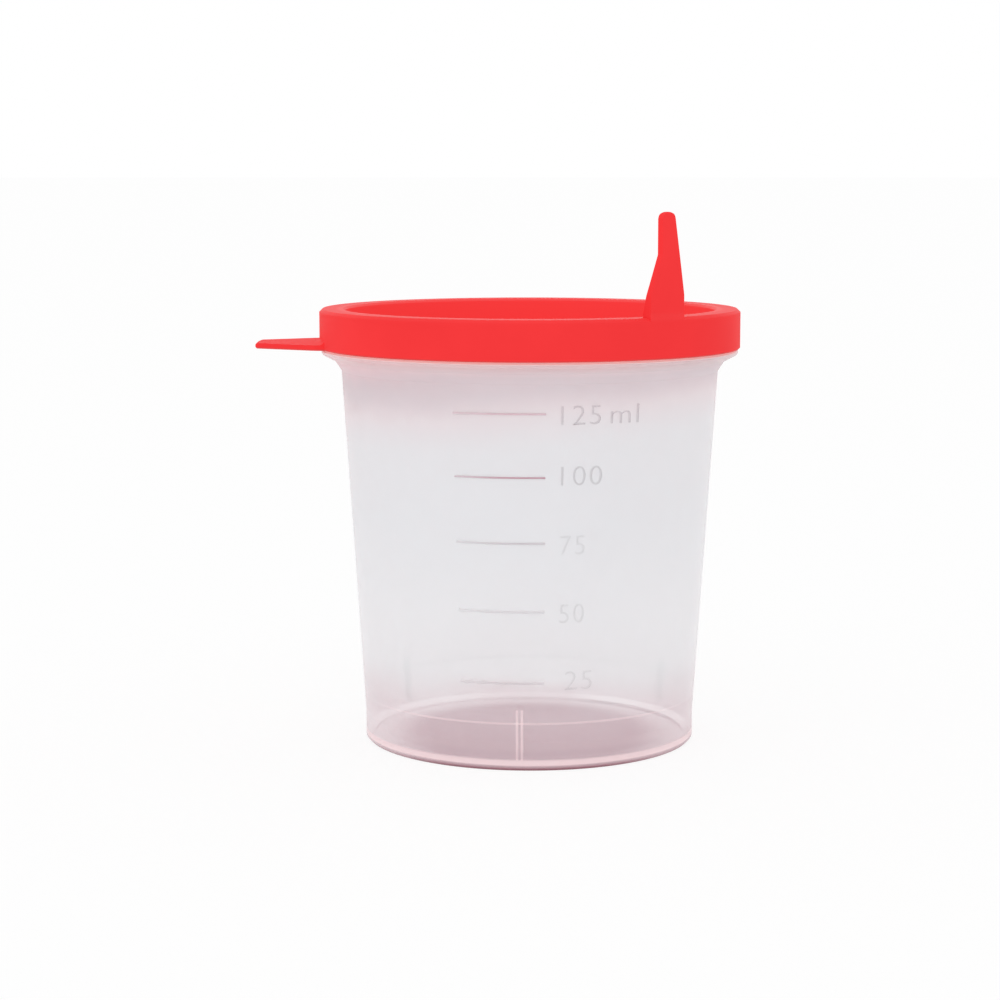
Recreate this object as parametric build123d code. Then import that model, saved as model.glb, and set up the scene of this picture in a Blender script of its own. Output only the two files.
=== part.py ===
from build123d import *
from math import radians, tan
import os

# Specimen cup with a press-on lid. Millimetres and degrees.
# The cup stands on the XY plane round the Z axis, and +Z points up out of its mouth.
# Azimuth is measured from the front (-Y), positive towards +X.

# ---- Driving dimensions: the cup ----
foot_radius = 26.6  # outside of the upright band round the foot
heel_height = 4.4  # the band's top, where the draft of the wall begins
heel_bevel = 0.45
wall_draft = 3.7  # each side of the cup leans out by this angle
wall_thickness = 0.9
cup_height = 68.34  # the cup's lip, which the lid rests on
foot_height = 0.7  # the floor is raised on a foot ring by this much
foot_ring_width = 1.5
foot_bevel = 0.2  # inner edge of the foot ring
floor_thickness = 1.05
floor_corner = 1.1  # bevel in the inside corner between the floor and the wall
ledge_height = 7.46  # below this ledge the wall is thicker inside
ledge_depth = 0.25
gate_radius = 0.8  # moulding gate, a small pip under the middle of the floor
gate_height = 0.3

# ---- Driving dimensions: the cup's neck, under the lid ----
neck_step = 1.85  # the upright neck stands out this much from the top of the drafted wall
neck_wall = 1.15
lip_bead = 0.35  # snap bead round the outside of the lip
lip_bead_height = 1.5
lip_bevel = 0.4
flange_inset = 0.32  # the stop flange ends this far inside the outside of the lid's skirt
flange_thickness = 0.7
flange_bevel = 0.2
flare_height = 1.6  # the wall slopes out to the underside of the flange over this height
flare_bevel = 1.1  # eases the wall into the flare

# ---- Driving dimensions: stacking ribs inside the foot ----
rib_count = 3
rib_azimuth = -3.1
rib_width = 1.25
rib_depth = 1.3  # how far a rib stands in from the wall at the floor
rib_top = 9.76
rib_lean = 0.5  # a rib is this much shallower at its top

# ---- Driving dimensions: raised graduation lines on the outside ----
graduation_count = 5  # 25 ml apart, from 25 ml to 125 ml
graduation_depth = 7.12  # from the underside of the flange down to the top line
graduation_floor = 0.3  # the ledge, corner and ribs take the room of this depth of bore
graduation_azimuth = -22.5  # the left end of each line
graduation_sweep = 27.2
graduation_width = 0.45
graduation_relief = 0.25

# ---- Driving dimensions: the lid ----
snap_gap = 0.1  # between the cup's snap bead and the lid's
snap_bead = 0.17  # bead round the inside of the skirt
skirt_wall = 0.95
skirt_height = 6.25
skirt_gap = 0.15  # between the skirt and the cup's flange
skirt_bevel = 0.2
rim_thickness = 1.2
rim_bevel = 0.5
plug_gap = 0.15  # between the lid's plug wall and the inside of the neck
plug_wall = 1.2
recess_depth = 5.0
recess_draft = 2.0
recess_bevel = 0.35
recess_corner = 0.6
panel_thickness = 1.1
panel_edge = 0.5  # the lead-in on the panel is this wide

# ---- Driving dimensions: pull tab, level with the bottom of the skirt ----
tab_azimuth = -90.0
tab_reach = 10.2  # beyond the skirt
tab_thickness = 0.85
tab_root_width = 19.0
tab_tip_width = 8.2
tab_corner = 1.6
tab_bevel = 0.25
tab_root_round = 0.8

# ---- Driving dimensions: upright finger tongue on the rim ----
tongue_azimuth = 38.1
tongue_rise = 15.75  # above the rim
tongue_root_width = 6.6
tongue_foot_rise = 3.3  # the sides are upright up to here
tongue_knee_rise = 9.4  # one side turns upright again here
tongue_knee_offset = 1.2  # that side's distance from the middle above its knee
tongue_tip_offset = 1.15  # the other side's distance from the middle at the tip
tongue_thickness = 1.1
tongue_root_thickness = 1.9
tongue_side_round = 1.0
tongue_tip_bevel = 0.3

merge = 0.3  # how far features run into the wall they grow from


def wall_radius(z):
    """Outside radius of the drafted wall at height z."""
    return foot_radius + (z - heel_height) * tan(radians(wall_draft))


def bore_radius(z):
    """Inside radius of the drafted wall at height z, above the ledge."""
    return wall_radius(z) - wall_thickness


# ---- Heights and radii that follow from the sizes above ----
floor_top = foot_height + floor_thickness
rim_top = cup_height + rim_thickness
skirt_bottom = rim_top - skirt_height
flange_top = skirt_bottom - skirt_gap
flange_bottom = flange_top - flange_thickness
flare_start = flange_bottom - flare_height
panel_top = rim_top - recess_depth
panel_bottom = panel_top - panel_thickness
neck_radius = wall_radius(flare_start) + neck_step
plug_outer_radius = neck_radius - neck_wall - plug_gap
recess_radius = plug_outer_radius - plug_wall
skirt_bead_radius = neck_radius + lip_bead + snap_gap
skirt_inner_radius = skirt_bead_radius + snap_bead
lid_radius = skirt_inner_radius + skirt_wall
flange_radius = lid_radius - flange_inset


def graduation_height(number):
    """Height of a line, so that the drafted bore holds as much between any two neighbours.

    The volume of a cone goes up with the cube of its radius.
    """
    bottom = floor_top + graduation_floor
    low, high = bore_radius(bottom), bore_radius(flange_bottom - graduation_depth)
    cube = low**3 + (high**3 - low**3) * number / graduation_count
    return bottom + (cube ** (1 / 3) - low) / tan(radians(wall_draft))


def corner(radius, height, fillet=0, bevel=0):
    """One corner of a section, sharp, filleted or bevelled."""
    return Vector(radius, height), fillet, bevel


def turned(corners):
    """Solid of revolution about Z with these corners round its section."""
    points, fillets = [], []
    for number, (here, fillet, bevel) in enumerate(corners):
        before, after = corners[number - 1][0], corners[(number + 1) % len(corners)][0]
        ends = [here + (other - here).normalized() * bevel for other in (before, after)]
        for point in ends if bevel else [here]:
            points.append(point)
            fillets.append(fillet)
    outline = FilletPolyline(*points, radius=fillets, close=True)
    return revolve(Plane.XZ * make_face(outline), Axis.Z)


def cup_shell():
    """Floor, foot ring, drafted wall, flare, stop flange, neck and lip, as one section."""
    foot_inner = foot_radius - foot_ring_width
    neck_inner = neck_radius - neck_wall
    bead_radius = neck_radius + lip_bead
    bead_bottom = cup_height - lip_bead_height
    inner_flare_start = flare_start + wall_thickness / 2
    outside = [
        corner(foot_inner, 0, bevel=foot_bevel),
        corner(foot_radius, 0, bevel=heel_bevel),
        corner(foot_radius, heel_height),
        corner(wall_radius(flare_start), flare_start, bevel=flare_bevel),
        corner(flange_radius, flange_bottom, bevel=flange_bevel),
        corner(flange_radius, flange_top, bevel=flange_bevel),
        corner(neck_radius, flange_top),
        corner(neck_radius, bead_bottom),
        corner(bead_radius, bead_bottom + lip_bead),
        corner(bead_radius, cup_height, bevel=lip_bevel),
    ]
    inside = [
        corner(neck_inner, cup_height, bevel=lip_bevel),
        corner(neck_inner, flange_bottom),
        corner(bore_radius(inner_flare_start), inner_flare_start),
        corner(bore_radius(ledge_height), ledge_height),
        corner(bore_radius(ledge_height) - ledge_depth, ledge_height),
        corner(bore_radius(floor_top) - ledge_depth, floor_top, bevel=floor_corner),
        corner(0, floor_top),
        corner(0, foot_height),
        corner(foot_inner, foot_height),
    ]
    return turned(outside + inside)


def stacking_ribs():
    """Short upright ribs in the corner of the floor, which keep stacked cups apart."""
    root = bore_radius(floor_top) - ledge_depth - rib_depth
    side = Polyline(
        (root, floor_top - merge),
        (root + rib_lean, rib_top),
        (bore_radius(rib_top) + merge, rib_top),
        (bore_radius(floor_top) + merge, floor_top - merge),
        close=True,
    )
    rib = extrude(Plane.XZ * make_face(side), rib_width / 2, both=True)
    return [
        Rot(Z=rib_azimuth - 90 + number * 360 / rib_count) * rib
        for number in range(rib_count)
    ]


def graduation_lines():
    """Raised arcs on the outside of the wall, one at each fill height."""
    lines = []
    for number in range(1, graduation_count + 1):
        height = graduation_height(number)
        low = height - graduation_width / 2
        high = height + graduation_width / 2
        section = Polyline(
            (wall_radius(low) - merge, low),
            (wall_radius(low), low),
            (wall_radius(height) + graduation_relief, height - graduation_width / 5),
            (wall_radius(height) + graduation_relief, height + graduation_width / 5),
            (wall_radius(high), high),
            (wall_radius(high) - merge, high),
            close=True,
        )
        arc = revolve(Plane.XZ * make_face(section), Axis.Z, revolution_arc=graduation_sweep)
        lines.append(Rot(Z=graduation_azimuth - 90) * arc)
    return lines


def gate_pip():
    """Moulding gate under the middle of the floor, clear of the ground."""
    pip = Cylinder(gate_radius, gate_height + merge, align=(Align.CENTER, Align.CENTER, Align.MAX))
    return Pos(Z=foot_height + merge) * pip


def make_cup():
    """The whole cup, one moulding."""
    cup = cup_shell()
    for feature in stacking_ribs() + graduation_lines():
        cup += feature
    return cup + gate_pip()


def lid_shell():
    """Skirt, rim, plug wall and sunken panel, as one section."""
    bead_middle = (skirt_bottom + cup_height - lip_bead_height) / 2
    recess_inner = recess_radius - recess_depth * tan(radians(recess_draft))
    return turned(
        [
            corner(skirt_inner_radius, skirt_bottom, bevel=skirt_bevel),
            corner(lid_radius, skirt_bottom, bevel=skirt_bevel),
            corner(lid_radius, rim_top, bevel=rim_bevel),
            corner(recess_radius, rim_top, bevel=recess_bevel),
            corner(recess_inner, panel_top, bevel=recess_corner),
            corner(0, panel_top),
            corner(0, panel_bottom),
            corner(plug_outer_radius - panel_edge, panel_bottom),
            corner(plug_outer_radius, panel_bottom + panel_thickness),
            corner(plug_outer_radius, cup_height),
            corner(skirt_inner_radius, cup_height),
            corner(skirt_inner_radius, bead_middle + 2 * snap_bead),
            corner(skirt_bead_radius, bead_middle + snap_bead),
            corner(skirt_bead_radius, bead_middle - snap_bead),
            corner(skirt_inner_radius, bead_middle - 2 * snap_bead),
        ]
    )


def pull_tab():
    """Flat tab that reaches out from the bottom of the skirt and narrows to its tip."""
    root = skirt_inner_radius + merge
    tip = lid_radius + tab_reach
    top = skirt_bottom + tab_thickness
    disc = turned(
        [
            corner(root, skirt_bottom),
            corner(tip, skirt_bottom, bevel=tab_bevel),
            corner(tip, top, bevel=tab_bevel),
            corner(lid_radius, top, fillet=tab_root_round),
            corner(lid_radius, top + 2 * tab_root_round),
            corner(root, top + 2 * tab_root_round),
        ]
    )
    inner = root - tab_root_width
    plan = FilletPolyline(
        (inner, -tab_root_width / 2),
        (lid_radius, -tab_root_width / 2),
        (tip, -tab_tip_width / 2),
        (tip, tab_tip_width / 2),
        (lid_radius, tab_root_width / 2),
        (inner, tab_root_width / 2),
        radius=[0, 2 * tab_corner, tab_corner, tab_corner, 2 * tab_corner, 0],
        close=True,
    )
    block = Pos(Z=skirt_bottom - merge) * extrude(make_face(plan), skirt_height)
    return Rot(Z=tab_azimuth - 90) * (disc & block)


def finger_tongue():
    """Upright tongue that carries the skirt up above the rim and narrows to its tip."""
    inner_face = lid_radius - tongue_thickness
    root_face = lid_radius - tongue_root_thickness
    tip = rim_top + tongue_rise
    foot = panel_top
    ring = turned(
        [
            corner(skirt_inner_radius + merge, foot),
            corner(lid_radius, foot),
            corner(lid_radius, tip, bevel=tongue_tip_bevel),
            corner(inner_face, tip, bevel=tongue_tip_bevel),
            corner(inner_face, rim_top + tongue_foot_rise),
            corner(root_face, rim_top),
            corner(root_face, rim_top - rim_thickness / 2),
            corner(skirt_inner_radius + merge, rim_top - rim_thickness / 2),
        ]
    )
    half = tongue_root_width / 2
    tip_round = (tongue_knee_offset + tongue_tip_offset) * 0.49
    outline = FilletPolyline(
        (-half, foot - merge),
        (-half, rim_top + tongue_foot_rise),
        (-tongue_knee_offset, rim_top + tongue_knee_rise),
        (-tongue_knee_offset, tip),
        (tongue_tip_offset, tip),
        (half, rim_top + tongue_foot_rise),
        (half, foot - merge),
        radius=[0, tongue_side_round, tongue_side_round, tip_round, tip_round, tongue_side_round, 0],
        close=True,
    )
    slab = extrude(Plane.XZ * make_face(outline), lid_radius + merge)
    return Rot(Z=tongue_azimuth) * (ring & slab)


def make_lid():
    """The whole lid, one moulding."""
    return lid_shell() + pull_tab() + finger_tongue()


os.makedirs("parts", exist_ok=True)
for name, part in {"cup": make_cup(), "lid": make_lid()}.items():
    solid = part.solid()
    solid.label = name
    export_step(solid, f"parts/{name}.step")
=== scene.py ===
"""Finish, raised numerals, studio and camera for a specimen container with a press-on lid."""

import math

import bpy
from mathutils import Color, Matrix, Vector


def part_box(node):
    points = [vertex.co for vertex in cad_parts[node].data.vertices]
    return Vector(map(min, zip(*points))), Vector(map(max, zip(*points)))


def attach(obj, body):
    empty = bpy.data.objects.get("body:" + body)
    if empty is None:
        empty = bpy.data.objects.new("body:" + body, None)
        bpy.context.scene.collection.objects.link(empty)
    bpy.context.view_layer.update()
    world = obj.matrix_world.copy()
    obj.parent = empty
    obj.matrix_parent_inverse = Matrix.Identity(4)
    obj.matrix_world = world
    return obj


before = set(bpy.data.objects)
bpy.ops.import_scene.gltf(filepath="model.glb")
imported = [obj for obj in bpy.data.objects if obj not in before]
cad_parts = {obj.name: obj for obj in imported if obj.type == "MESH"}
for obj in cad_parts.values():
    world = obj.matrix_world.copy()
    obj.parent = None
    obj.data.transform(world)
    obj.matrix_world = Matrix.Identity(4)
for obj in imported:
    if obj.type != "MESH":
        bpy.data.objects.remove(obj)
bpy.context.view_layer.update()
LID_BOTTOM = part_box("lid")[0][2]

bl_info = {
    "name": "Specimen container",
    "version": (1, 0, 0),
    "blender": (4, 5, 0),
    "location": "3D View > Sidebar > Specimen",
    "description": "Finishes a translucent specimen cup and its red press-on lid",
    "category": "Add Mesh",
}

MM = 0.001
BLACK = (0.0, 0.0, 0.0, 1.0)
WHITE = (1.0, 1.0, 1.0, 1.0)

# ---------------------------------------------------------------- shape of the CAD pieces

# The outside of the cup's wall is a cone. Heights are above the base, and radii from the axis.
WALL_RADIUS_AT_BASE = 26.315 * MM
WALL_SLOPE = math.tan(math.radians(3.7))

# The foot: the middle of its ring, the shaded hollow inside it, and the gate pip at the centre.
FOOT_RING_RADIUS = 25.1 * MM
HOLLOW_RADIUS = 20 * MM
GATE_RADIUS = 0.8 * MM

# Ledge and stacking ribs inside the foot. Azimuths are in degrees from the front.
LEDGE_HEIGHT = 7.46 * MM
RIB_TOP = 9.76 * MM
RIB_WIDTH = 1.25 * MM
RIB_AZIMUTHS = (-3.1, 116.9, -123.1)

# The stop flange, which the skirt of the lid comes down to.
FLANGE_TOP = 63.14 * MM

# Raised numerals: text, the height of their middle in mm, and the azimuths of their two ends.
NUMERALS = {
    "numeral_125": ("125", 55.2, 9.2, 20.9),
    "numeral_ml": ("ml", 55.2, 24.2, 33.4),
    "numeral_100": ("100", 46.0, 9.4, 21.8),
    "numeral_75": ("75", 35.4, 9.4, 16.9),
    "numeral_50": ("50", 24.8, 9.4, 17.2),
    "numeral_25": ("25", 14.3, 11.6, 20.4),
}

# A digit's height as a share of the font's size, the steps in its curves, and the merge distance.
DIGIT_SHARE = 0.715
DIGIT_CURVE_STEPS = 6
DIGIT_MERGE = 0.002 * MM

# ---------------------------------------------------------------- zones of the cup's finish

# A fade is a pair: where a mask is 0, and where it is 1. A share is how much of a tint shows.
# Noise is waves for each metre, detail and roughness.

# The plastic itself: how far from the wall's cone its outer skin lies, its clouds and its skin.
OUTER_SKIN_FADE = (-0.5 * MM, -0.35 * MM)
CUP_CLOUDS = (45.0, 3.0, 0.55)
CLOUD_MIDDLE = 0.5
CLOUD_SWAY = 5 * MM
CLOUD_HAZE = 0.06
CUP_SKIN = (900.0, 2.0, 0.5)
CUP_SKIN_DEPTH = 0.012 * MM
CUP_SKIN_STRENGTH = 0.4
CUP_ROUGHNESS = 0.3
CUP_ROUGHNESS_CLOUDS = 0.1
CUP_IOR = 1.49

# Up the wall, by height: a painted lift of the low wall, painted red light from the lid, which
# reaches lower on the left, painted shade under the lid and painted light on the flange.
LOW_WALL_FADE = (40 * MM, 14 * MM)
LID_LIGHT_FADE = (49 * MM, 65 * MM)
LID_LIGHT_LEAN = 0.07
LID_SHADE_HEIGHT = 59.3 * MM
LID_SHADE_REACH = (5 * MM, 0.5 * MM)
LID_SHADE_SHARE = 0.5
FLANGE_GLOW_FADE = (60.5 * MM, 62.5 * MM)
FLANGE_GLOW_SHARE = 0.45
NECK_FADE = (FLANGE_TOP + 0.2 * MM, FLANGE_TOP + 0.6 * MM)

# Down to the foot. The painted red light and glow, and the foot's tint with its painted light, are
# full at the front and weaker behind and on the left.
FRONT_FADE = (8 * MM, -20 * MM)
LIGHT_SHARE_BEHIND = 0.35
FLOOR_LIGHT_FADE = (16 * MM, 7 * MM)
GLOW_HEIGHT = 11.3 * MM
GLOW_REACH = (4 * MM, 1 * MM)
GLOW_HALF_WIDTH = (16 * MM, 3 * MM)
GLOW_SHARE = 0.55
FOOT_FADE = (LEDGE_HEIGHT + 0.1 * MM, LEDGE_HEIGHT - 0.3 * MM)
FOOT_DEPTH_FADE = (8 * MM, 2 * MM)
FOOT_TINT_AT_LEDGE = 0.3
FOOT_LEFT_FADE = (-26 * MM, -14 * MM)
FOOT_TINT_LIT_LEFT = 0.4

# The ribs behind, which show less than the one in front: how far inside the wall, and where.
FAR_RIB_INSET = (-1.0 * MM, -1.3 * MM)
ABOVE_FLOOR_FADE = (1.8 * MM, 2.2 * MM)
FAR_RIB_FADE = (4 * MM, 8 * MM)
FAR_RIB_CLEAR = 0.65

# The underside of the floor, with painted shade over the hollow, a painted glint on its far rim, and
# painted light on the far side of the ring that the foot stands on.
UNDERSIDE_FADE = (1.3 * MM, 1.1 * MM)
HOLLOW_FADE = (HOLLOW_RADIUS + 3.5 * MM, HOLLOW_RADIUS - 3.5 * MM)
AHEAD_FADE = (0, -12 * MM)
AHEAD_HALF_WIDTH = (24 * MM, 12 * MM)
BORDER_FADE = (FOOT_RING_RADIUS + 1.1 * MM, FOOT_RING_RADIUS + 0.5 * MM)
BORDER_BEHIND = 0.45
GATE_FADE = (GATE_RADIUS + 0.1 * MM, GATE_RADIUS - 0.2 * MM)
GATE_SHARE = 0.7
# A painted glint along the far rim of the floor, stronger to the right.
FAR_RIM_FADE = (24.2 * MM, 24.8 * MM)
FAR_SIDE_FADE = (2 * MM, 10 * MM)
FAR_RIM_SHARE = 0.7
TO_THE_SIDE_FADE = (6 * MM, 12 * MM)
FAR_RIM_CLEAR = 0.3
FAR_RIM_CLEAR_SIDES = 0.15
FAR_RIM_CLEAR_RIGHT = 0.2
# Painted light on the far arc of the ring.
RING_REACH = (0.9 * MM, 0.4 * MM)
RING_FAR_FADE = (4 * MM, 10 * MM)
RING_HAZE = 0.5

# The line of the ledge on the far side of the wall.
SEAM_REACH = (0.4 * MM, 0.15 * MM)
SEAM_FAR_FADE = (4 * MM, 24 * MM)
SEAM_SHARE = 0.6

# Painted light caught in the edges of the front half. What lies between two heights has a fade at
# each.
LIT_SIDE_FADE = (8 * MM, -12 * MM)
LIT_HAZE = 0.9
FLANGE_LIGHT_FADE = (40 * MM, 50 * MM)
FLOOR_RIM_LOWER = (0.6 * MM, 0.95 * MM)
FLOOR_RIM_UPPER = (1.95 * MM, 1.55 * MM)
LEDGE_LINE_REACH = (0.24 * MM, 0.08 * MM)
LEDGE_LINE_HALF_WIDTH = (25 * MM, 15 * MM)
LEDGE_LINE_SHARE = 0.5
FLANGE_LOWER = (FLANGE_TOP - 0.4 * MM, FLANGE_TOP - 0.15 * MM)
FLANGE_UPPER = (FLANGE_TOP + 0.5 * MM, FLANGE_TOP + 0.2 * MM)
RIB_EDGE_OFFSET = RIB_WIDTH * 0.3
RIB_EDGE_REACH = (0.26 * MM, 0.12 * MM)
RIB_OUTWARD_FADE = (0, 1 * MM)
RIB_TOP_FADE = (RIB_TOP, RIB_TOP - 0.3 * MM)
RIB_BOTTOM_FADE = (1.6 * MM, 1.8 * MM)
RIB_EDGE_SHARE = 0.7

# The heel: painted shade in the corner above the floor rim, and a painted contact shadow where it
# meets the ground.
CORNER_HEIGHT = 2.3 * MM
CORNER_REACH = (1.4 * MM, 0.3 * MM)
CORNER_FRONT_FADE = (-6 * MM, -18 * MM)
CORNER_SHARE = 0.22
CONTACT_FADE = (0.8 * MM, 0.2 * MM)
CONTACT_RADIUS_FADE = (25 * MM, 25.4 * MM)
CONTACT_FRONT_FADE = (4 * MM, -12 * MM)
CONTACT_HALF_WIDTH = (20 * MM, 10 * MM)
CONTACT_AT_SIDES = 0.6
CONTACT_HAZE = 0.45

# Fill lines: how far they stand out, the heights between which they lie, and how they fade.
LINE_RELIEF_FADE = (0.06 * MM, 0.2 * MM)
LINES_LOWER = (10 * MM, 11 * MM)
LINES_UPPER = (59 * MM, 58.5 * MM)
LINE_HAZE = 0.25
LINE_RIGHT_FADE = (-12 * MM, -3 * MM)
LINE_LEFT_SHARE = 0.6
LINE_HEIGHT_FADE = (28 * MM, 46 * MM)
LINE_LOW_SHARE = 0.4
LINE_RED_LIGHT_FADE = (48 * MM, 52 * MM)
LINE_RED_LIGHT_LOSS = 0.4
TOP_LINE_FADE = (36 * MM, 52 * MM)

# A painted glow in the gap between the flange and the lid.
GAP_LOWER = (FLANGE_TOP - 0.06 * MM, FLANGE_TOP - 0.02 * MM)
GAP_UPPER = (FLANGE_TOP + 0.3 * MM, FLANGE_TOP)
GAP_RADIUS_FADE = (31.6 * MM, 32 * MM)

# Numerals, which are fainter lower down.
NUMERAL_HEIGHT_FADE = (38 * MM, 46 * MM)
NUMERAL_LOW_SHARE = 0.5
NUMERAL_ROUGHNESS = 0.35

# ---------------------------------------------------------------- zones of the lid's finish

LID_CLOUDS = (60.0, 3.0, 0.5)
LID_CLOUD_FADE = (0.35, 0.7)
LID_SKIN = (1400.0, 2.0, 0.5)
LID_SKIN_DEPTH = 0.01 * MM
LID_SKIN_STRENGTH = 0.5
LID_ROUGHNESS = 0.46
LID_ROUGHNESS_CLOUDS = 0.06
LID_IOR = 1.5
RECESS_FADE = (31.2 * MM, 30.4 * MM)
BRINK_FADE = (LID_BOTTOM + 0.3 * MM, LID_BOTTOM + 0.1 * MM)
BRINK_SHARE = 0.7
RIM_TOP_LOWER = (68.9 * MM, 69.4 * MM)
RIM_TOP_UPPER = (70.5 * MM, 69.9 * MM)
RIM_COAT_ROUGHNESS = 0.25

# ---------------------------------------------------------------- studio

FLOOR_RADIUS = 30
FLOOR_SIDES = 96
FLOOR_DROP = 0.02 * MM
KEY_PLACE = (-0.45, -0.55, 0.75)
KEY_TURN = (math.radians(42), 0, math.radians(-39))
KEY_SIZE = 0.7
SENSOR_WIDTH = 36
CLIP_START = 0.01
CLIP_END = 100


def wall_radius(height):
    """Outside radius of the cup's wall at a height above the base."""
    return WALL_RADIUS_AT_BASE + height * WALL_SLOPE


# ---------------------------------------------------------------- shader maths


class Socket:
    """A shader socket that takes part in Python arithmetic."""

    def __init__(self, finish, output):
        self.finish = finish
        self.output = output

    def _math(self, operation, *values):
        return self.finish.add("ShaderNodeMath", {"operation": operation}, dict(enumerate(values)))

    def __add__(self, other):
        return self._math("ADD", self, other)

    __radd__ = __add__

    def __sub__(self, other):
        return self._math("SUBTRACT", self, other)

    def __rsub__(self, other):
        return self._math("SUBTRACT", other, self)

    def __mul__(self, other):
        return self._math("MULTIPLY", self, other)

    __rmul__ = __mul__

    def root(self):
        """Square root."""
        return self._math("SQRT", self)

    def magnitude(self):
        """The value without its sign."""
        return self._math("ABSOLUTE", self)

    def smaller(self, other):
        """The smaller of two values."""
        return self._math("MINIMUM", self, other)

    def larger(self, other):
        """The larger of two values."""
        return self._math("MAXIMUM", self, other)

    def step(self, low, high):
        """0 below low, 1 above high, and a smooth rise between. High may be the lower one."""
        if low > high:
            return 1 - self.step(high, low)
        sockets = {"Value": self, "From Min": low, "From Max": high}
        return self.finish.add("ShaderNodeMapRange", {"interpolation_type": "SMOOTHSTEP"}, sockets)

    def near(self, centre, far, close):
        """1 within close of a value, and 0 where it is further off than far."""
        return (self - centre).magnitude().step(far, close)

    def lifted(self, least):
        """A mask that runs from least to 1, made of one that runs from 0 to 1."""
        return self * (1 - least) + least

    def sibling(self, name):
        """Another output of the same node."""
        return Socket(self.finish, self.output.node.outputs[name])


def colour(value):
    """A colour property as the four numbers that a socket takes. Anything else stays as it is."""
    return (*value, 1.0) if isinstance(value, Color) else value


class Finish:
    """The node tree of one material or world, built from its shader outwards."""

    def __init__(self, owner, surface="ShaderNodeOutputMaterial"):
        owner.use_nodes = True
        self.tree = owner.node_tree
        self.tree.nodes.clear()
        self.surface = self.tree.nodes.new(surface)

    def add(self, kind, settings=None, inputs=None, output=0):
        """Adds a node, sets it up, then fills its sockets with values or links."""
        node = self.tree.nodes.new(kind)
        for name, value in (settings or {}).items():
            setattr(node, name, value)
        for name, value in (inputs or {}).items():
            socket = node.inputs[name]
            if isinstance(value, Socket):
                self.tree.links.new(value.output, socket)
            else:
                socket.default_value = value
        return Socket(self, node.outputs[output])

    def place(self):
        """Object coordinates in metres, as one vector and as x, y and z."""
        coordinates = self.add("ShaderNodeTexCoord", output="Object")
        x = self.add("ShaderNodeSeparateXYZ", inputs={"Vector": coordinates}, output="X")
        return coordinates, (x, x.sibling("Y"), x.sibling("Z"))

    def noise(self, coordinates, scale, detail, roughness):
        """Fractal noise from 0 to 1. Scale is in waves for each metre."""
        sockets = {"Vector": coordinates, "Scale": scale, "Detail": detail, "Roughness": roughness}
        return self.add("ShaderNodeTexNoise", inputs=sockets)

    def mix(self, factor, first, second):
        """One colour into another by a factor. The node's numbers and vectors share their names."""
        sockets = {0: factor, 6: colour(first), 7: colour(second)}
        return self.add("ShaderNodeMix", {"data_type": "RGBA"}, sockets, output=2)

    def bump(self, height, distance, strength):
        """Normal from a height map whose full range is distance, in metres."""
        sockets = {"Strength": strength, "Distance": distance, "Height": height}
        return self.add("ShaderNodeBump", inputs=sockets)

    def seen(self):
        """1 on what the camera sees straight, in a gloss or through something clear."""
        straight = self.add("ShaderNodeLightPath", output="Is Camera Ray")
        mirrored = straight.sibling("Is Glossy Ray")
        return straight.larger(mirrored).larger(straight.sibling("Is Transmission Ray"))

    def mix_shaders(self, factor, first, second):
        """One shader into another by a factor."""
        return self.add("ShaderNodeMixShader", inputs={0: factor, 1: first, 2: second})

    def cover(self, shader):
        """Makes a shader the surface."""
        self.tree.links.new(shader.output, self.surface.inputs["Surface"])

    def principled(self, **sockets):
        """Makes the surface a Principled shader with these sockets."""
        named = {name.replace("_", " ").title(): value for name, value in sockets.items()}
        named = {name.replace("Ior", "IOR"): value for name, value in named.items()}
        self.cover(self.add("ShaderNodeBsdfPrincipled", inputs=named))


# ---------------------------------------------------------------- materials


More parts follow.
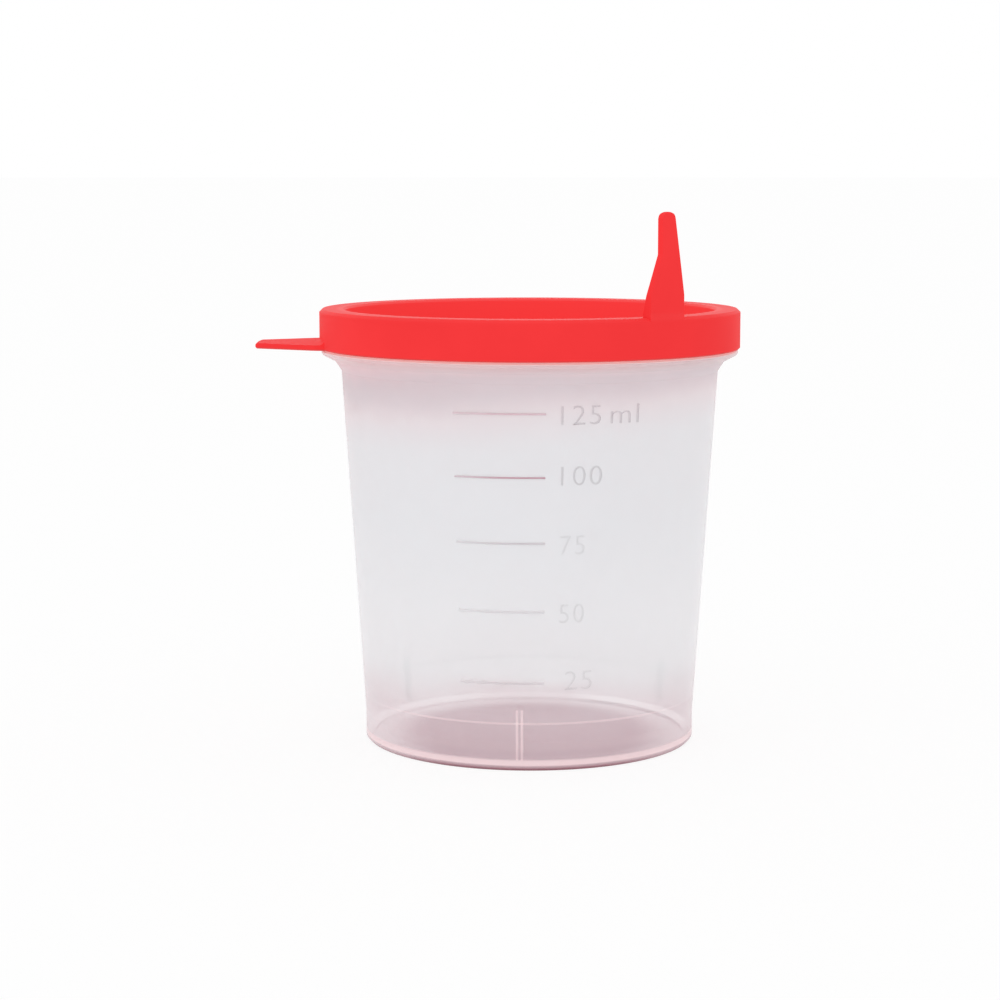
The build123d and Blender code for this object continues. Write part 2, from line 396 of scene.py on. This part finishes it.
class CupPlastic:
    """Hazy natural plastic, with painted red light from the lid above, painted shade, and painted
    light caught in its floor and edges.

    Tone and haze are its colour and opacity so far, and each zone in turn is painted over them.
    """

    def __init__(self, material, look):
        self.finish = Finish(material)
        self.look = look
        self.coordinates, (self.x, self.y, self.z) = self.finish.place()
        self.radius = (self.x * self.x + self.y * self.y).root()
        self.proud = self.radius - (self.z * WALL_SLOPE + WALL_RADIUS_AT_BASE)
        self.outside = self.proud.step(*OUTER_SKIN_FADE)
        self.cloud = self.finish.noise(self.coordinates, *CUP_CLOUDS)
        self.height = self.z + (self.cloud - CLOUD_MIDDLE) * CLOUD_SWAY
        self.below = self.z.step(*UNDERSIDE_FADE)
        self.tone = look.wall_colour
        self.haze = self.outside * (look.haze - look.inner_haze) + look.inner_haze
        self.haze = self.haze + (self.cloud - CLOUD_MIDDLE) * CLOUD_HAZE

    def tint(self, share, over):
        """Paints a colour over the tone, by a share or a mask."""
        self.tone = self.finish.mix(share, self.tone, over)

    def upper_wall(self):
        """The wall up to the lid: a painted lift of the low wall, painted red light and painted shade
        from the lid, painted light on the flange, and the plain neck above.
        """
        look = self.look
        # Painted light lifting the low wall, where the cup shades its own inside.
        self.tint(self.height.step(*LOW_WALL_FADE), look.low_wall_light)
        # Painted red light from the lid, reaching lower on the left.
        leaning = self.height - self.x * LID_LIGHT_LEAN
        self.tint(leaning.step(*LID_LIGHT_FADE), look.lid_red_light)
        shade = leaning.near(LID_SHADE_HEIGHT, *LID_SHADE_REACH)
        self.tint(shade * LID_SHADE_SHARE, look.lid_shade)
        # Painted light on the flange just under the lid.
        self.tint(self.z.step(*FLANGE_GLOW_FADE) * FLANGE_GLOW_SHARE, look.flange_light)
        self.tint(self.z.step(*NECK_FADE), look.wall_colour)

    def lower_wall(self):
        """Painted red light above the ledge, a painted glow in its middle, and the thicker wall of
        the foot, tinted and partly painted light.
        """
        look = self.look
        front = self.y.step(*FRONT_FADE).lifted(LIGHT_SHARE_BEHIND)
        # Painted red light near the floor, full at the front.
        self.tint(self.height.step(*FLOOR_LIGHT_FADE) * front, look.floor_red_light)
        # A painted glow in the middle of the lower wall.
        glow = self.height.near(GLOW_HEIGHT, *GLOW_REACH) * self.x.near(0, *GLOW_HALF_WIDTH)
        self.tint(glow * front * GLOW_SHARE, look.foot_tint_and_light)
        # The foot's thicker plastic, partly painted light: weaker on the left, where light falls.
        depth = self.height.step(*FOOT_DEPTH_FADE).lifted(FOOT_TINT_AT_LEDGE)
        foot = self.z.step(*FOOT_FADE) * depth * self.x.step(*FOOT_LEFT_FADE).lifted(FOOT_TINT_LIT_LEFT)
        self.tint(foot * front, look.foot_tint_and_light)

    def far_ribs(self):
        """The ribs behind, which are nearly clear."""
        rib = self.proud.step(*FAR_RIB_INSET) * self.z.step(*ABOVE_FLOOR_FADE)
        self.haze = self.haze * (1 - rib * self.y.step(*FAR_RIB_FADE) * FAR_RIB_CLEAR)

    def underside(self):
        """Painted shade on the floor over the hollow of the foot, left out at the gate, with a
        painted glint on the far rim.
        """
        look = self.look
        middle = self.radius.step(*HOLLOW_FADE)
        ahead = self.y.step(*AHEAD_FADE) * self.x.near(0, *AHEAD_HALF_WIDTH)
        border = self.radius.step(*BORDER_FADE) * ahead.lifted(BORDER_BEHIND)
        gate = self.radius.step(*GATE_FADE) * GATE_SHARE
        # A painted glint on the far rim: less painted shade and less haze there.
        far_rim_glint = self.radius.step(*FAR_RIM_FADE) * self.y.step(*FAR_SIDE_FADE) * self.below
        # Painted shade: the floor over the shaded hollow is made darker and more opaque.
        under = (middle + border - middle * border - gate) * self.below
        under = under * (1 - far_rim_glint * FAR_RIM_SHARE)
        self.tint(under, look.hollow_shade)
        clear = self.x.magnitude().step(*TO_THE_SIDE_FADE) * FAR_RIM_CLEAR_SIDES
        clear = clear + self.x.step(*TO_THE_SIDE_FADE) * FAR_RIM_CLEAR_RIGHT + FAR_RIM_CLEAR
        self.haze = self.haze + under * (look.under_haze - look.inner_haze)
        self.haze = self.haze * (1 - far_rim_glint * clear)

    def far_ring(self):
        """Painted light on the pale arc of the foot ring, behind on the right."""
        ring = self.radius.near(FOOT_RING_RADIUS, *RING_REACH) * self.below
        ring = ring * self.x.step(*TO_THE_SIDE_FADE) * self.y.step(*RING_FAR_FADE)
        self.tint(ring, self.look.low_wall_light)
        self.haze = self.haze + ring * RING_HAZE

    def far_ledge(self):
        """The faint line of the ledge behind."""
        seam = self.z.near(LEDGE_HEIGHT, *SEAM_REACH) * self.y.step(*SEAM_FAR_FADE)
        self.tint(seam * self.outside * SEAM_SHARE, self.look.line_colour)

    def lit_edges(self):
        """Painted light on the edges that the plastic pipes light to."""
        look = self.look
        light = self.outside * self.caught_light() * self.y.step(*LIT_SIDE_FADE)
        upward = self.z.step(*FLANGE_LIGHT_FADE)
        self.tint(light, self.finish.mix(upward, look.edge_light, look.flange_light))
        self.haze = self.haze + light * (LIT_HAZE - look.haze)

    def caught_light(self):
        """Where painted light comes out of the plastic: floor rim, ledge, flange and ribs."""
        floor_rim = self.z.step(*FLOOR_RIM_LOWER) * self.z.step(*FLOOR_RIM_UPPER)
        ledge = self.z.near(LEDGE_HEIGHT, *LEDGE_LINE_REACH) * self.x.near(0, *LEDGE_LINE_HALF_WIDTH)
        flange = self.z.step(*FLANGE_LOWER) * self.z.step(*FLANGE_UPPER)
        light = floor_rim + ledge * LEDGE_LINE_SHARE + flange
        for azimuth in RIB_AZIMUTHS:
            light = light + self.rib_edges(math.radians(azimuth)) * RIB_EDGE_SHARE
        return light.smaller(1.0)

    def rib_edges(self, turn):
        """The two upright edges of the rib that lies turn round from the front."""
        across = self.x * math.cos(turn) + self.y * math.sin(turn)
        outward = self.x * math.sin(turn) - self.y * math.cos(turn)
        edges = across.magnitude().near(RIB_EDGE_OFFSET, *RIB_EDGE_REACH)
        between = self.z.step(*RIB_TOP_FADE) * self.z.step(*RIB_BOTTOM_FADE)
        return edges * outward.step(*RIB_OUTWARD_FADE) * between

    def heel(self):
        """Painted shade in the corner over the floor rim, and a painted contact shadow where the foot
        meets the ground.
        """
        corner = self.z.near(CORNER_HEIGHT, *CORNER_REACH) * self.y.step(*CORNER_FRONT_FADE)
        self.tint(corner * self.outside * CORNER_SHARE, self.look.hollow_shade)
        # Painted contact shadow, strongest at the front.
        contact = self.z.step(*CONTACT_FADE) * self.radius.step(*CONTACT_RADIUS_FADE)
        contact = contact * self.y.step(*CONTACT_FRONT_FADE)
        contact = contact * self.x.near(0, *CONTACT_HALF_WIDTH).lifted(CONTACT_AT_SIDES)
        self.tint(contact, self.look.contact_shadow)
        self.haze = self.haze + contact * CONTACT_HAZE

    def fill_lines(self):
        """The raised lines, which fade to the left, lower down and in the painted red light from the
        lid.
        """
        look = self.look
        relief = self.proud.step(*LINE_RELIEF_FADE)
        relief = relief * self.z.step(*LINES_LOWER) * self.z.step(*LINES_UPPER)
        by_side = self.x.step(*LINE_RIGHT_FADE).lifted(LINE_LEFT_SHARE)
        by_height = self.z.step(*LINE_HEIGHT_FADE).lifted(LINE_LOW_SHARE)
        by_height = by_height - self.z.step(*LINE_RED_LIGHT_FADE) * LINE_RED_LIGHT_LOSS
        marks = relief * by_side * by_height
        upward = self.z.step(*TOP_LINE_FADE)
        self.tint(marks, self.finish.mix(upward, look.line_colour, look.top_line_colour))
        self.haze = self.haze + marks * LINE_HAZE

    def gap_light(self):
        """A painted glow for the light that comes out between the flange and the lid."""
        gap = self.z.step(*GAP_LOWER) * self.z.step(*GAP_UPPER) * self.radius.step(*GAP_RADIUS_FADE)
        return self.finish.mix(gap, BLACK, self.look.gap_light)

    def paint(self):
        """Paints every zone and makes the surface."""
        self.upper_wall()
        self.lower_wall()
        self.far_ribs()
        self.underside()
        self.far_ring()
        self.far_ledge()
        self.lit_edges()
        self.heel()
        self.fill_lines()
        skin = self.finish.noise(self.coordinates, *CUP_SKIN)
        self.finish.principled(
            base_color=self.tone,
            alpha=self.haze,
            roughness=CUP_ROUGHNESS + self.cloud * CUP_ROUGHNESS_CLOUDS,
            normal=self.finish.bump(skin, CUP_SKIN_DEPTH, CUP_SKIN_STRENGTH),
            specular_ior_level=self.look.sheen,
            ior=CUP_IOR,
            emission_color=self.gap_light(),
            emission_strength=1.0,
        )


def numeral_plastic(material, look):
    """Clear skin of the raised numerals, which only tints the wall behind it."""
    finish = Finish(material)
    _, (_, _, z) = finish.place()
    strength = z.step(*NUMERAL_HEIGHT_FADE).lifted(NUMERAL_LOW_SHARE)
    finish.principled(
        base_color=colour(look.line_colour),
        alpha=strength * look.numeral_haze,
        roughness=NUMERAL_ROUGHNESS,
        specular_ior_level=look.sheen,
        ior=CUP_IOR,
    )


def red_plastic(material, look):
    """Smooth opaque red plastic with a faint moulded skin, a glossier rim, painted light in its
    recess and painted shade on its lower edge.
    """
    finish = Finish(material)
    coordinates, (x, y, z) = finish.place()
    radius = (x * x + y * y).root()
    cloud = finish.noise(coordinates, *LID_CLOUDS)
    tone = finish.mix(cloud.step(*LID_CLOUD_FADE), look.deep_red, look.bright_red)
    # Painted light in the recess.
    tone = finish.mix(radius.step(*RECESS_FADE), tone, look.recess_light)
    # Painted shade on the lower edge.
    tone = finish.mix(z.step(*BRINK_FADE) * BRINK_SHARE, tone, look.brink_shade)
    skin = finish.noise(coordinates, *LID_SKIN)
    finish.principled(
        base_color=tone,
        roughness=LID_ROUGHNESS + cloud * LID_ROUGHNESS_CLOUDS,
        normal=finish.bump(skin, LID_SKIN_DEPTH, LID_SKIN_STRENGTH),
        specular_ior_level=look.sheen,
        ior=LID_IOR,
        coat_weight=z.step(*RIM_TOP_LOWER) * z.step(*RIM_TOP_UPPER) * look.rim_gloss,
        coat_roughness=RIM_COAT_ROUGHNESS,
    )


def studio_floor(material, look):
    """White floor that shows white to the camera and keeps a soft shadow."""
    finish = Finish(material)
    paint = finish.add("ShaderNodeBsdfDiffuse", inputs={"Color": colour(look.floor_colour)})
    glow = finish.add("ShaderNodeEmission", inputs={"Color": WHITE, "Strength": 1.0})
    finish.cover(finish.mix_shaders(finish.seen() * look.floor_glow, paint, glow))


def studio_world(world, look):
    """Even light from all round, white to the camera."""
    finish = Finish(world, "ShaderNodeOutputWorld")
    even = finish.add("ShaderNodeBackground", inputs={"Color": WHITE, "Strength": look.ambient})
    white = finish.add("ShaderNodeBackground", inputs={"Color": WHITE, "Strength": 1.0})
    finish.cover(finish.mix_shaders(finish.seen(), even, white))


# ---------------------------------------------------------------- settings


class CupLook(bpy.types.PropertyGroup):
    """Colours and haze of the cup, with the colours of its painted light and shade."""

    wall_colour: bpy.props.FloatVectorProperty(
        name="Wall colour",
        description="Colour of the haze in the wall between the lid and the floor",
        subtype="COLOR",
        default=(0.88, 0.912, 0.953),
    )
    # Painted light that lifts the low wall, and the pale far arc of the foot ring.
    low_wall_light: bpy.props.FloatVectorProperty(
        name="Low wall colour",
        description="Colour of the haze in the wall above the blush of the floor",
        subtype="COLOR",
        default=(0.96, 0.97, 1.0),
    )
    # Painted red light that the lid throws down onto the wall.
    lid_red_light: bpy.props.FloatVectorProperty(
        name="Blush under the lid",
        description="Tint of the wall where the lid colours it",
        subtype="COLOR",
        default=(0.92, 0.56, 0.62),
    )
    lid_shade: bpy.props.FloatVectorProperty(
        name="Shade under the lid",
        description="Tint of the wall in the shade of the lid",
        subtype="COLOR",
        default=(0.50, 0.52, 0.58),
    )
    # Painted red light from the lid, thrown back onto the wall near the floor.
    floor_red_light: bpy.props.FloatVectorProperty(
        name="Blush at the floor",
        description="Tint of the wall above the ledge",
        subtype="COLOR",
        default=(0.87, 0.71, 0.76),
    )
    # Tint of the foot's thicker plastic, which is also painted light: it colours the painted glow,
    # and is weaker on the lit left.
    foot_tint_and_light: bpy.props.FloatVectorProperty(
        name="Blush of the foot",
        description="Tint of the thicker wall below the ledge",
        subtype="COLOR",
        default=(0.80, 0.61, 0.66),
    )
    # Painted shade, put on the floor's underside where the hollow under it lies in shade.
    hollow_shade: bpy.props.FloatVectorProperty(
        name="Underside",
        description="Tint of the floor over the shaded hollow of the foot",
        subtype="COLOR",
        default=(0.535, 0.395, 0.455),
    )
    # Painted light on the edges that the plastic pipes light to.
    edge_light: bpy.props.FloatVectorProperty(
        name="Caught light",
        description="Tint where the plastic pipes light to its outside",
        subtype="COLOR",
        default=(1.0, 0.80, 0.82),
    )
    # Painted light on the flange's edge, lifting the shade under the lid.
    flange_light: bpy.props.FloatVectorProperty(
        name="Flange",
        description="Tint of the edge of the stop flange, just under the lid",
        subtype="COLOR",
        default=(1.0, 0.72, 0.70),
    )
    # Painted glow, an emission, for the light in the gap.
    gap_light: bpy.props.FloatVectorProperty(
        name="Light in the gap",
        description="Light that the plastic pipes up into the gap between the flange and the lid",
        subtype="COLOR",
        default=(0.38, 0.22, 0.21),
    )
    # Painted contact shadow where the foot meets the ground.
    contact_shadow: bpy.props.FloatVectorProperty(
        name="Contact",
        description="Tint of the foot where it meets the ground",
        subtype="COLOR",
        default=(0.42, 0.20, 0.24),
    )
    line_colour: bpy.props.FloatVectorProperty(
        name="Raised marks",
        description="Tint of the raised lines and numerals",
        subtype="COLOR",
        default=(0.40, 0.33, 0.37),
    )
    # Pinker where the painted red light from the lid falls on the lines.
    top_line_colour: bpy.props.FloatVectorProperty(
        name="Top raised marks",
        description="Tint of the raised lines in the blush of the lid",
        subtype="COLOR",
        default=(0.55, 0.23, 0.30),
    )
    numeral_haze: bpy.props.FloatProperty(
        name="Numeral haze",
        description="How much the raised numerals tint the wall",
        default=0.16,
        min=0.0,
        max=1.0,
        subtype="FACTOR",
    )
    haze: bpy.props.FloatProperty(
        name="Haze",
        description="How much the outside of the wall hides",
        default=0.485,
        min=0.0,
        max=1.0,
        subtype="FACTOR",
    )
    inner_haze: bpy.props.FloatProperty(
        name="Inner haze",
        description="How much the inside of the wall hides",
        default=0.03,
        min=0.0,
        max=1.0,
        subtype="FACTOR",
    )
    # Opacity of the painted shade under the floor.
    under_haze: bpy.props.FloatProperty(
        name="Underside haze",
        description="How much the underside of the floor hides",
        default=0.84,
        min=0.0,
        max=1.0,
        subtype="FACTOR",
    )
    sheen: bpy.props.FloatProperty(
        name="Sheen",
        description="Strength of the gloss",
        default=0.12,
        min=0.0,
        max=1.0,
        subtype="FACTOR",
    )


class NumeralLook(bpy.types.PropertyGroup):
    """Sizes of the raised numerals."""

    height: bpy.props.FloatProperty(
        name="Height",
        description="Height of a digit",
        default=3.1 * MM,
        unit="LENGTH",
    )
    relief: bpy.props.FloatProperty(
        name="Relief",
        description="How far the numerals stand out from the wall",
        default=0.2 * MM,
        unit="LENGTH",
    )
    sink: bpy.props.FloatProperty(
        name="Sink",
        description="How far the numerals run into the wall",
        default=0.06 * MM,
        unit="LENGTH",
    )
    spacing: bpy.props.FloatProperty(
        name="Spacing",
        description="Space between characters, as a share of the font's own",
        default=1.12,
    )
    thinning: bpy.props.FloatProperty(
        name="Thinning",
        description="How far each side of a stroke is drawn in",
        default=0.08 * MM,
        unit="LENGTH",
    )


class LidLook(bpy.types.PropertyGroup):
    """Colours of the lid, with painted light in its recess and painted shade on its lower edge."""

    bright_red: bpy.props.FloatVectorProperty(
        name="Bright red",
        description="Main colour of the lid",
        subtype="COLOR",
        default=(0.98, 0.046, 0.049),
    )
    deep_red: bpy.props.FloatVectorProperty(
        name="Deep red",
        description="Darker colour of the faint clouds in the lid",
        subtype="COLOR",
        default=(0.94, 0.042, 0.045),
    )
    sheen: bpy.props.FloatProperty(
        name="Sheen",
        description="Strength of the gloss",
        default=0.02,
        min=0.0,
        max=1.0,
        subtype="FACTOR",
    )
    rim_gloss: bpy.props.FloatProperty(
        name="Rim gloss",
        description="Extra gloss on the flat top of the rim",
        default=0.14,
        min=0.0,
        max=1.0,
        subtype="FACTOR",
    )
    # Painted light: a paler red that keeps the recess from looking shaded.
    recess_light: bpy.props.FloatVectorProperty(
        name="Recess red",
        description="Colour of the wall and floor of the recess",
        subtype="COLOR",
        default=(0.98, 0.082, 0.084),
    )
    # Painted shade on the lower edge of the skirt and tab.
    brink_shade: bpy.props.FloatVectorProperty(
        name="Brink red",
        description="Colour of the lower edge of the skirt and tab",
        subtype="COLOR",
        default=(0.70, 0.09, 0.085),
    )


class StudioLook(bpy.types.PropertyGroup):
    """The floor, the light and the camera."""

    floor_colour: bpy.props.FloatVectorProperty(
        name="Floor colour",
        description="Colour of the floor",
        subtype="COLOR",
        default=(0.98, 0.98, 0.98),
    )
    floor_glow: bpy.props.FloatProperty(
        name="Floor glow",
        description="How much of the floor's shadow is lifted to white",
        default=0.85,
        subtype="FACTOR",
    )
    ambient: bpy.props.FloatProperty(
        name="Ambient light",
        description="Strength of the even light from all round",
        default=0.93,
    )
    key_power: bpy.props.FloatProperty(
        name="Key light",
        description="Power of the large soft light above the front left",
        default=0.5,
        unit="POWER",
    )
    camera_place: bpy.props.FloatVectorProperty(
        name="Camera",
        description="Where the camera stands",
        subtype="TRANSLATION",
        default=(0.32 * MM, -399.78 * MM, 91.5 * MM),
    )
    camera_pitch: bpy.props.FloatProperty(
        name="Pitch",
        description="How far the camera looks down",
        default=math.radians(7.557),
        unit="ROTATION",
    )
    camera_yaw: bpy.props.FloatProperty(
        name="Yaw",
        description="How far the camera turns to its left",
        default=math.radians(0.728),
        unit="ROTATION",
    )
    lens: bpy.props.FloatProperty(
        name="Lens",
        description="Focal length on a 36 mm sensor",
        default=89.62,
        unit="CAMERA",
    )


# ---------------------------------------------------------------- modelling helpers


def new_material(name):
    """A material under a plain name."""
    return bpy.data.materials.new(name)


def dress(node, material):
    """Gives a CAD node this material in every slot."""
    for slot in node.material_slots:
        slot.material = material


def raised_text(name, words, height, ends, look):
    """Words that stand out of the wall between two azimuths, centred on a height."""
    bpy.ops.object.select_all(action="DESELECT")
    bpy.ops.object.text_add(location=(0, 0, 0))
    text = bpy.context.object
    text.name = name
    text.data.body = words
    text.data.space_character = look.spacing
    text.data.size = look.height / DIGIT_SHARE
    text.data.offset = -look.thinning
    text.data.extrude = (look.relief + look.sink) / 2
    text.data.resolution_u = DIGIT_CURVE_STEPS
    bpy.ops.object.convert(target="MESH")
    text.data.name = name
    bpy.ops.object.mode_set(mode="EDIT")
    bpy.ops.mesh.select_all(action="SELECT")
    bpy.ops.mesh.remove_doubles(threshold=DIGIT_MERGE)
    bpy.ops.object.mode_set(mode="OBJECT")
    wrap_round_wall(text, height, ends, look)
    return text


def wrap_round_wall(text, height, ends, look):
    """Wraps flat words, which lie in XY and face +Z, round the cone of the wall."""
    left = min(vertex.co.x for vertex in text.data.vertices)
    right = max(vertex.co.x for vertex in text.data.vertices)
    out = (look.relief - look.sink) / 2
    for vertex in text.data.vertices:
        along, up, away = vertex.co
        level = height + up - look.height / 2
        radius = wall_radius(level) + out + away
        share = (along - left) / (right - left)
        angle = math.radians(ends[0] + (ends[1] - ends[0]) * share)
        vertex.co = (radius * math.sin(angle), -radius * math.cos(angle), level)


# ---------------------------------------------------------------- operators


class SPECIMEN_OT_cup(bpy.types.Operator):
    """Give the cup its hazy natural plastic"""

    bl_idname = "specimen.cup"
    bl_label = "Finish the cup"

    def execute(self, context):
        material = new_material("natural_plastic")
        CupPlastic(material, context.scene.specimen_cup).paint()
        # The painted glow in the gap is too faint to be sampled as a lamp.
        material.cycles.emission_sampling = "NONE"
        dress(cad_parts["cup"], material)
        return {"FINISHED"}


class SPECIMEN_OT_lid(bpy.types.Operator):
    """Give the lid its red plastic"""

    bl_idname = "specimen.lid"
    bl_label = "Finish the lid"

    def execute(self, context):
        material = new_material("red_plastic")
        red_plastic(material, context.scene.specimen_lid)
        dress(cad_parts["lid"], material)
        return {"FINISHED"}


class SPECIMEN_OT_numerals(bpy.types.Operator):
    """Raise the plain numerals beside the fill lines"""

    bl_idname = "specimen.numerals"
    bl_label = "Add the numerals"

    def execute(self, context):
        look = context.scene.specimen_numerals
        material = new_material("numeral_plastic")
        numeral_plastic(material, context.scene.specimen_cup)
        for name, (words, height, *ends) in NUMERALS.items():
            text = raised_text(name, words, height * MM, ends, look)
            text.data.materials.clear()
            text.data.materials.append(material)
            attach(text, "cup")
        return {"FINISHED"}


class SPECIMEN_OT_stage(bpy.types.Operator):
    """Add the floor, the lights and the camera"""

    bl_idname = "specimen.stage"
    bl_label = "Set the stage"

    def execute(self, context):
        look = context.scene.specimen_studio
        self.add_floor(look)
        self.light_world(context.scene, look)
        self.add_key(look)
        self.add_camera(context.scene, look)
        context.scene.view_settings.view_transform = "Standard"
        return {"FINISHED"}

    def add_floor(self, look):
        """A wide white floor just under the foot, so that the two don't coincide."""
        bpy.ops.object.select_all(action="DESELECT")
        bpy.ops.mesh.primitive_circle_add(
            vertices=FLOOR_SIDES,
            radius=FLOOR_RADIUS,
            fill_type="NGON",
            location=(0, 0, -FLOOR_DROP),
        )
        floor = bpy.context.object
        floor.name = "studio_floor"
        material = new_material("studio_floor")
        studio_floor(material, look)
        floor.data.materials.append(material)

    def light_world(self, scene, look):
        """Even light from all round."""
        scene.world = bpy.data.worlds.new("studio")
        studio_world(scene.world, look)

    def add_key(self, look):
        """A large soft light above the front left."""
        bpy.ops.object.select_all(action="DESELECT")
        bpy.ops.object.light_add(type="AREA", location=KEY_PLACE)
        key = bpy.context.object
        key.name = "key_light"
        key.data.shape = "DISK"
        key.data.size = KEY_SIZE
        key.data.energy = look.key_power
        key.rotation_euler = KEY_TURN

    def add_camera(self, scene, look):
        """The camera, in front and a little above the lid."""
        turn = (math.pi / 2 - look.camera_pitch, 0, look.camera_yaw)
        bpy.ops.object.select_all(action="DESELECT")
        bpy.ops.object.camera_add(location=look.camera_place, rotation=turn)
        camera = bpy.context.object
        camera.name = "camera"
        camera.data.sensor_width = SENSOR_WIDTH
        camera.data.lens = look.lens
        camera.data.clip_start = CLIP_START
        camera.data.clip_end = CLIP_END
        scene.camera = camera


class SPECIMEN_PT_panel(bpy.types.Panel):
    """Lists the steps and their settings"""

    bl_idname = "SPECIMEN_PT_panel"
    bl_label = "Specimen container"
    bl_space_type = "VIEW_3D"
    bl_region_type = "UI"
    bl_category = "Specimen"

    def draw(self, context):
        for step, settings in STEPS:
            box = self.layout.box()
            box.operator(step.bl_idname)
            group = getattr(context.scene, settings)
            for name in group.bl_rna.properties.keys():
                if name not in ("rna_type", "name"):
                    box.prop(group, name)


LOOKS = {
    "specimen_cup": CupLook,
    "specimen_lid": LidLook,
    "specimen_numerals": NumeralLook,
    "specimen_studio": StudioLook,
}
STEPS = [
    (SPECIMEN_OT_cup, "specimen_cup"),
    (SPECIMEN_OT_lid, "specimen_lid"),
    (SPECIMEN_OT_numerals, "specimen_numerals"),
    (SPECIMEN_OT_stage, "specimen_studio"),
]
CLASSES = [*LOOKS.values(), *(step for step, _ in STEPS), SPECIMEN_PT_panel]


def register():
    """Registers the classes and gives the scene its settings."""
    for item in CLASSES:
        bpy.utils.register_class(item)
    for name, group in LOOKS.items():
        setattr(bpy.types.Scene, name, bpy.props.PointerProperty(type=group))


def unregister():
    """Takes the settings and the classes away again."""
    for name in LOOKS:
        delattr(bpy.types.Scene, name)
    for item in reversed(CLASSES):
        bpy.utils.unregister_class(item)


def main():
    """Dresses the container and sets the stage."""
    register()
    bpy.ops.specimen.cup()
    bpy.ops.specimen.lid()
    bpy.ops.specimen.numerals()
    bpy.ops.specimen.stage()


if __name__ == "__main__":
    main()
